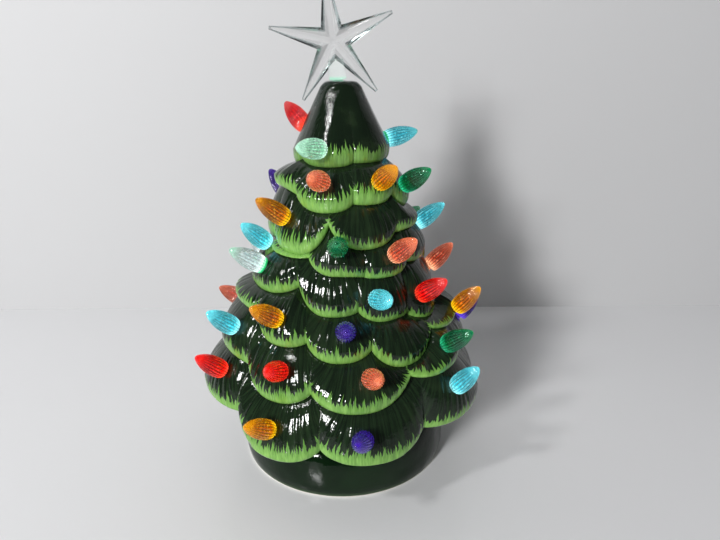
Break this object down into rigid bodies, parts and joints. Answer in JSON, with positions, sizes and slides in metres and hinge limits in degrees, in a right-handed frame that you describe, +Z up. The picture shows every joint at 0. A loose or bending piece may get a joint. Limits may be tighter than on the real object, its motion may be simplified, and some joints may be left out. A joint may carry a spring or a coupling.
{
  "type": "lighted ceramic christmas tree",
  "caption": "Hollow glazed ceramic tree with scalloped boughs, push-in flame bulbs and a clear star, lifting off a round base with a battery lamp inside.",
  "frame": {"origin": "on the table under the middle of the base's foot ring", "axes": "+Z up along the tree, -Y towards the front, +X towards the viewer's right"},
  "size_m": [0.1741, 0.1974, 0.2818],
  "materials": {
    "tree_glaze": "wet dark green glaze with light green brushed hems",
    "base_glaze": "wet dark green glaze, bare pale foot ring",
    "star_plastic": "clear moulded plastic, polished facets",
    "tray_plastic": "fine moulded grain, black",
    "switch_plastic": "moulded, off-white",
    "lamp_plastic": "moulded, white",
    "diffuser_plastic": "frosted white, lets light through",
    "board": "white circuit board",
    "led": "warm white lamp",
    "battery_wrap": "plain wrap with bare steel ends, no print",
    "spring_steel": "nickelled sheet",
    "screw_steel": "zinc plated",
    "bulb_red": "red see-through plastic, fluted",
    "bulb_amber": "amber see-through plastic, fluted",
    "bulb_aqua": "aqua see-through plastic, fluted",
    "bulb_green": "green see-through plastic, fluted",
    "bulb_purple": "purple see-through plastic, fluted",
    "bulb_coral": "coral see-through plastic, fluted",
    "bulb_clear": "clear colourless plastic, fluted",
    "bulb_mint": "mint see-through plastic, fluted"
  },
  "bodies": {
    "base": {"base_shell": "base_glaze", "base_plate": "tray_plastic", "battery_1": "battery_wrap", "battery_2": "battery_wrap", "battery_3": "battery_wrap", "contact_left": "spring_steel", "contact_right": "spring_steel", "lamp_post": "lamp_plastic", "led_board": "board", "led_lamp": "led", "lamp_diffuser": "diffuser_plastic"},
    "tree": {"tree_shell": "tree_glaze", "bulb_1a_red": "bulb_red", "bulb_1b_mint": "bulb_mint", "bulb_1c_aqua": "bulb_aqua", "bulb_1d_amber": "bulb_amber", "bulb_2a_coral": "bulb_coral", "bulb_2b_amber": "bulb_amber", "bulb_2c_green": "bulb_green", "bulb_2d_red": "bulb_red", "bulb_3a_purple": "bulb_purple", "bulb_3b_amber": "bulb_amber", "bulb_3c_aqua": "bulb_aqua", "bulb_3d_purple": "bulb_purple", "bulb_3e_green": "bulb_green", "bulb_4a_aqua": "bulb_aqua", "bulb_4b_green": "bulb_green", "bulb_4c_coral": "bulb_coral", "bulb_4d_green": "bulb_green", "bulb_4e_aqua": "bulb_aqua", "bulb_5a_clear": "bulb_clear", "bulb_5b_clear": "bulb_clear", "bulb_5c_aqua": "bulb_aqua", "bulb_5d_red": "bulb_red", "bulb_5e_coral": "bulb_coral", "bulb_5f_coral": "bulb_coral", "bulb_6a_coral": "bulb_coral", "bulb_6b_amber": "bulb_amber", "bulb_6c_purple": "bulb_purple", "bulb_6d_amber": "bulb_amber", "bulb_6e_clear": "bulb_clear", "bulb_6f_red": "bulb_red", "bulb_7a_aqua": "bulb_aqua", "bulb_7b_red": "bulb_red", "bulb_7c_coral": "bulb_coral", "bulb_7d_green": "bulb_green", "bulb_7e_purple": "bulb_purple", "bulb_7f_amber": "bulb_amber", "bulb_7g_green": "bulb_green", "bulb_8a_red": "bulb_red", "bulb_8b_amber": "bulb_amber", "bulb_8c_purple": "bulb_purple", "bulb_8d_aqua": "bulb_aqua", "bulb_8e_coral": "bulb_coral", "bulb_8f_green": "bulb_green", "bulb_8g_amber": "bulb_amber"},
    "star": {"star_topper": "star_plastic"},
    "door": {"battery_door": "tray_plastic", "door_screw": "screw_steel"},
    "switch": {"switch_slider": "switch_plastic"}
  },
  "joints": [
    {"name": "tree_lift", "type": "slide", "parent": "base", "child": "tree", "axis": [0, 0, 1], "range_m": [0, 0.12]},
    {"name": "star_lift", "type": "slide", "parent": "tree", "child": "star", "axis": [0, 0, 1], "range_m": [0, 0.03]},
    {"name": "door_hinge", "type": "hinge", "parent": "base", "child": "door", "pos_m": [-0.02775, 0, 0.003], "axis": [0, 1, 0], "range_deg": [0, 100]},
    {"name": "switch_slide", "type": "slide", "parent": "base", "child": "switch", "axis": [1, 0, 0], "range_m": [0, 0.004]}
  ]
}
